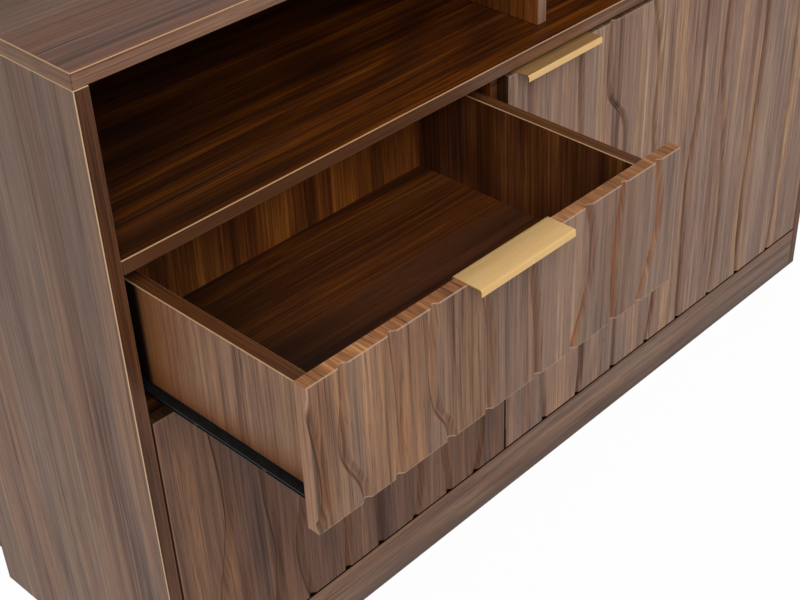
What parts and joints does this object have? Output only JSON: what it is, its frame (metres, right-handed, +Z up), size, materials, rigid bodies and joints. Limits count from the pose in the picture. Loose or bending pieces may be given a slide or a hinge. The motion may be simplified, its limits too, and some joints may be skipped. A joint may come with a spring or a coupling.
{
  "type": "kitchen buffet cabinet",
  "caption": "Walnut-finish kitchen buffet with an open niche, hinged doors and a roller drawer with wandering carved grooves, and gold edge pulls; the drawer stands open.",
  "frame": {"origin": "on the floor in the middle of the whole footprint, with the drawer pulled out as pictured", "axes": "+X to the right along the front, +Y to the back, +Z up; the fronts face -Y"},
  "size_m": [1.2, 0.587, 0.78],
  "materials": {
    "walnut_outside": "matt walnut film on board",
    "walnut_inside": "matt walnut film on board",
    "hardboard": "printed thin board",
    "gold_pull": "satin",
    "black_steel": "satin black coat",
    "nylon": "matt",
    "steel": "nickel plate",
    "zinc": "die-cast zinc",
    "beech": "raw",
    "rubber": "clear soft plastic"
  },
  "bodies": {
    "carcass": {"side_left": "walnut_outside", "side_right": "walnut_outside", "top_board": "walnut_outside", "niche_shelf": "walnut_outside", "niche_divider": "walnut_outside", "plinth_front": "walnut_outside", "partition": "walnut_inside", "bay_divider": "walnut_inside", "bottom_board": "walnut_inside", "plinth_rear": "walnut_inside", "plinth_brace": "walnut_inside", "inner_shelf": "walnut_inside", "back_niche": "hardboard", "back_left": "hardboard", "back_right": "hardboard", "slide_channel_left": "black_steel", "slide_channel_right": "black_steel", "back_nails": "steel", "carcass_bolts": "steel", "shelf_pins": "steel", "hinge_arms_left": "steel", "hinge_plates_left": "steel", "plate_screws_left": "steel", "hinge_arms_right": "steel", "hinge_plates_right": "steel", "plate_screws_right": "steel", "channel_screws": "steel", "carcass_cams": "zinc", "carcass_dowels": "beech", "bumpers": "rubber"},
    "drawer": {"drawer_front": "walnut_outside", "drawer_side_left": "walnut_outside", "drawer_side_right": "walnut_outside", "drawer_back": "walnut_outside", "drawer_floor": "hardboard", "pull_drawer": "gold_pull", "pull_screws_drawer": "steel", "drawer_cams": "zinc", "drawer_bolts": "steel", "drawer_dowels": "beech", "runner_screws": "steel", "slide_runner_left": "black_steel", "slide_runner_right": "black_steel"},
    "door_left": {"door_left": "walnut_outside", "pull_left": "gold_pull", "pull_screws_left": "steel", "hinge_cups_left": "steel", "cup_screws_left": "steel"},
    "door_right": {"door_right": "walnut_outside", "pull_right": "gold_pull", "pull_screws_right": "steel", "hinge_cups_right": "steel", "cup_screws_right": "steel"},
    "roller_front_left": {"roller_front_left": "nylon"},
    "roller_front_right": {"roller_front_right": "nylon"},
    "roller_rear_left": {"roller_rear_left": "nylon"},
    "roller_rear_right": {"roller_rear_right": "nylon"}
  },
  "joints": [
    {"name": "drawer_slide", "type": "slide", "parent": "carcass", "child": "drawer", "axis": [0, -1, 0], "range_m": [-0.22, 0.005]},
    {"name": "door_left_hinge", "type": "hinge", "parent": "carcass", "child": "door_left", "pos_m": [-0.581, -0.0545, 0.246], "axis": [0, 0, -1], "range_deg": [0, 105]},
    {"name": "door_right_hinge", "type": "hinge", "parent": "carcass", "child": "door_right", "pos_m": [0.581, -0.0545, 0.3255], "axis": [0, 0, 1], "range_deg": [0, 105]},
    {"name": "roller_front_left_spin", "type": "hinge", "parent": "carcass", "child": "roller_front_left", "pos_m": [-0.5793, -0.0265, 0.4492], "axis": [1, 0, 0], "range_deg": [-1577.6, 37.8]},
    {"name": "roller_rear_left_spin", "type": "hinge", "parent": "drawer", "child": "roller_rear_left", "pos_m": [-0.5793, 0.0293, 0.447], "axis": [1, 0, 0], "range_deg": [-1577.6, 37.8]},
    {"name": "roller_front_right_spin", "type": "hinge", "parent": "carcass", "child": "roller_front_right", "pos_m": [-0.1047, -0.0265, 0.4492], "axis": [1, 0, 0], "range_deg": [-1577.6, 37.8]},
    {"name": "roller_rear_right_spin", "type": "hinge", "parent": "drawer", "child": "roller_rear_right", "pos_m": [-0.1047, 0.0293, 0.447], "axis": [1, 0, 0], "range_deg": [-1577.6, 37.8]}
  ],
  "couplings": [
    {"joint": "roller_front_left_spin", "follows": "drawer_slide", "rad_per_m": 125},
    {"joint": "roller_rear_left_spin", "follows": "drawer_slide", "rad_per_m": 125},
    {"joint": "roller_front_right_spin", "follows": "drawer_slide", "rad_per_m": 125},
    {"joint": "roller_rear_right_spin", "follows": "drawer_slide", "rad_per_m": 125}
  ]
}
